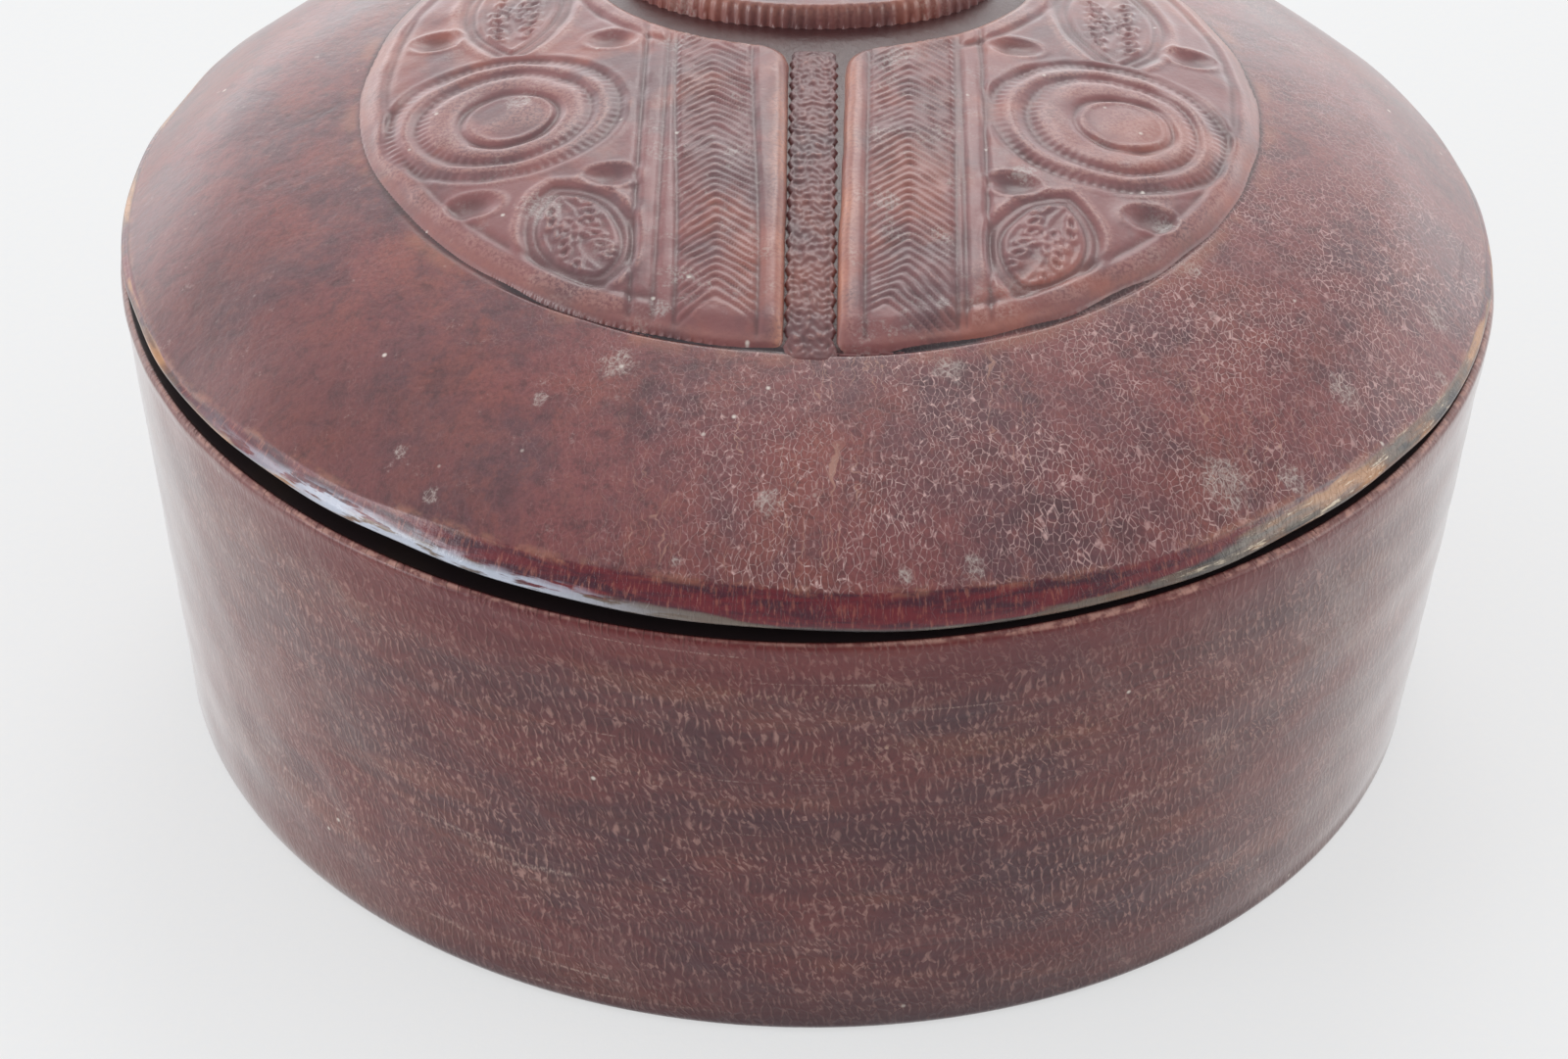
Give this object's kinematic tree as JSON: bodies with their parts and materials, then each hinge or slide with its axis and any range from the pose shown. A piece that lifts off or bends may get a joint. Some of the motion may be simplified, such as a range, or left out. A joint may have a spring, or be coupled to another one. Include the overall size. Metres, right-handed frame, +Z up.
{
  "type": "round leather lidded box",
  "caption": "Low round leather-covered box with a domed lift-off lid that seats over a collar, its top carrying raised stamped leather panels.",
  "frame": {"origin": "centre of the underside, on the surface the box stands on", "axes": "+Z up along the box's own axis, -Y towards the front, +X to the right seen from the front"},
  "size_m": [0.151, 0.151, 0.0784],
  "materials": {
    "body_leather": "fine hair-cell grain, rubbed, semi-matt",
    "lid_leather": "polished, crackled along the front right",
    "panel_leather": "stamped relief, semi-gloss",
    "dark_leather": "stamped, semi-matt",
    "board": "raw board",
    "rawhide": "raw, rubbed",
    "lining_hide": "undyed suede side"
  },
  "bodies": {
    "box": {"wall_leather": "body_leather", "base_leather": "dark_leather", "wall_core": "board", "base_board": "board", "base_lining": "lining_hide", "wall_lining": "lining_hide", "mouth_collar": "lining_hide"},
    "lid": {"lid_leather": "lid_leather", "lid_hoop": "rawhide", "lid_core": "board", "lid_lining": "lining_hide", "lobe_left": "panel_leather", "lobe_right": "panel_leather", "channel_strip": "dark_leather", "lid_boss": "panel_leather"}
  },
  "joints": [
    {"name": "lid_lift", "type": "slide", "parent": "box", "child": "lid", "axis": [0, 0, 1], "range_m": [0, 0.09]}
  ]
}
